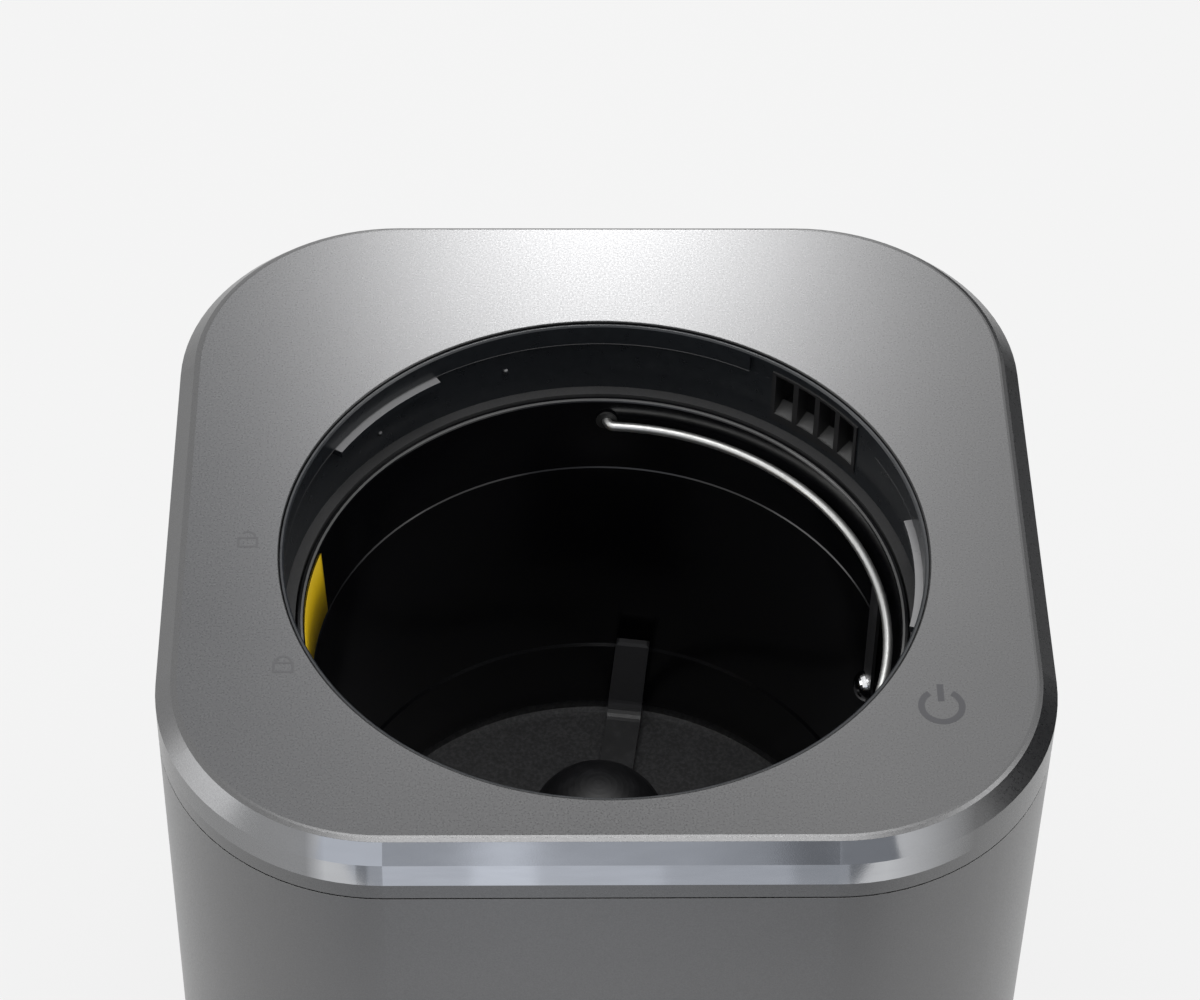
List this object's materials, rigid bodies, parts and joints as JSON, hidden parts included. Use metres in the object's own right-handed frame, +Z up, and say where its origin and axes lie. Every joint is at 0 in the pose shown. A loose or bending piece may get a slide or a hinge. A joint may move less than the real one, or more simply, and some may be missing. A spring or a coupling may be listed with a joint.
{
  "type": "electric food waste composter",
  "caption": "Square metal tower with a round top opening, a lift-out bucket with a bail handle, a motor-driven mixing arm, a vent fan and a filter drawer at the back.",
  "frame": {"origin": "centre of the underside, on the surface that the feet rest on", "axes": "+Z up along the tower, -Y to the front, +X to the right seen from the front"},
  "size_m": [0.285, 0.285, 0.36],
  "materials": {
    "satin_aluminium": "bead-blasted satin, with a polished edge",
    "shell_aluminium": "bead-blasted satin, darker anodised",
    "black_gloss": "moulded, glossy",
    "gasket_rubber": "matt moulded",
    "dark_coat": "non-stick coat",
    "bucket_coat": "glossy ceramic non-stick coat",
    "insulation": "felted glass fibre",
    "cast_aluminium": "as cast",
    "plated_steel": "zinc plated",
    "handle_steel": "polished stainless steel",
    "brass_plate": "machined, bright",
    "black_plastic": "fine moulded texture",
    "dark_plastic": "moulded",
    "foot_rubber": "matt moulded",
    "filter_grey": "moulded frame of the carbon cartridge",
    "motor_paint": "enamelled can",
    "gear_plastic": "moulded acetal",
    "circuit_board": "solder resist",
    "bush_plastic": "moulded, matt"
  },
  "bodies": {
    "root": {"body_shell": "shell_aluminium", "top_plate": "satin_aluminium", "collar_ring": "black_gloss", "vent_grille": "black_gloss", "rim_gasket": "gasket_rubber", "well": "dark_coat", "insulation_sleeve": "insulation", "heater_plate": "cast_aluminium", "temperature_sensor": "plated_steel", "well_stand": "dark_coat", "chassis_plate": "plated_steel", "chassis_post_fl": "plated_steel", "chassis_post_fr": "plated_steel", "chassis_post_rl": "plated_steel", "chassis_post_rr": "plated_steel", "base_pan": "black_plastic", "foot_fl": "foot_rubber", "foot_fr": "foot_rubber", "foot_rl": "foot_rubber", "foot_rr": "foot_rubber", "rear_cover": "black_plastic", "power_inlet": "black_plastic", "inlet_pins": "brass_plate", "filter_bay": "dark_plastic", "gearbox_case": "cast_aluminium", "gearbox_cover": "cast_aluminium", "motor": "motor_paint", "idler_pin": "plated_steel", "lower_bearing": "plated_steel", "upper_bearing": "plated_steel", "shaft_seal": "gasket_rubber", "fan_housing": "dark_plastic", "exhaust_duct": "dark_plastic", "filter_duct": "dark_plastic", "main_board": "circuit_board", "board_parts": "dark_plastic", "touch_pad": "circuit_board", "lid_sensor": "dark_plastic", "collar_screws": "plated_steel", "post_screws": "plated_steel", "gearbox_screws": "plated_steel"},
    "drive": {"drive_shaft": "plated_steel", "output_gear": "gear_plastic"},
    "idler": {"idler_gear": "plated_steel"},
    "pinion": {"motor_pinion": "brass_plate", "motor_shaft": "plated_steel"},
    "bucket": {"bucket": "bucket_coat", "bucket_bush": "bush_plastic", "handle_bush_front": "bush_plastic", "handle_bush_rear": "bush_plastic", "handle_rest": "handle_steel", "rest_rivet": "handle_steel"},
    "bail": {"bail_handle": "handle_steel"},
    "mixer": {"mixer_hub": "bucket_coat", "mixing_arm": "bucket_coat", "mixer_spindle": "plated_steel", "drive_socket": "plated_steel"},
    "fan": {"fan_impeller": "dark_plastic"},
    "drawer": {"filter_drawer": "black_plastic", "filter_cartridge": "filter_grey"}
  },
  "joints": [
    {"name": "bucket_lift", "type": "slide", "parent": "root", "child": "bucket", "axis": [0, 0, 1], "range_m": [0, 0.205]},
    {"name": "bail_swing", "type": "hinge", "parent": "bucket", "child": "bail", "pos_m": [0.003, -0.016, 0.32], "axis": [0, -1, 0], "range_deg": [0, 180]},
    {"name": "mixer_spin", "type": "hinge", "parent": "bucket", "child": "mixer", "pos_m": [0, -0.016, 0.18], "axis": [0, 0, 1], "continuous": true},
    {"name": "shaft_spin", "type": "hinge", "parent": "root", "child": "drive", "pos_m": [0, -0.016, 0.13], "axis": [0, 0, 1], "continuous": true},
    {"name": "idler_spin", "type": "hinge", "parent": "root", "child": "idler", "pos_m": [0.03348, -0.04948, 0.13], "axis": [0, 0, 1], "continuous": true},
    {"name": "pinion_spin", "type": "hinge", "parent": "root", "child": "pinion", "pos_m": [0.01943, -0.07382, 0.13], "axis": [0, 0, 1], "continuous": true},
    {"name": "fan_spin", "type": "hinge", "parent": "root", "child": "fan", "pos_m": [0.104, 0.088, 0.277], "axis": [0, 0, 1], "continuous": true},
    {"name": "drawer_slide", "type": "slide", "parent": "root", "child": "drawer", "axis": [0, 1, 0], "range_m": [0, 0.085]}
  ],
  "couplings": [
    {"joint": "mixer_spin", "follows": "shaft_spin", "ratio": 1},
    {"joint": "idler_spin", "follows": "shaft_spin", "ratio": -3.5},
    {"joint": "pinion_spin", "follows": "shaft_spin", "ratio": 10.5}
  ]
}
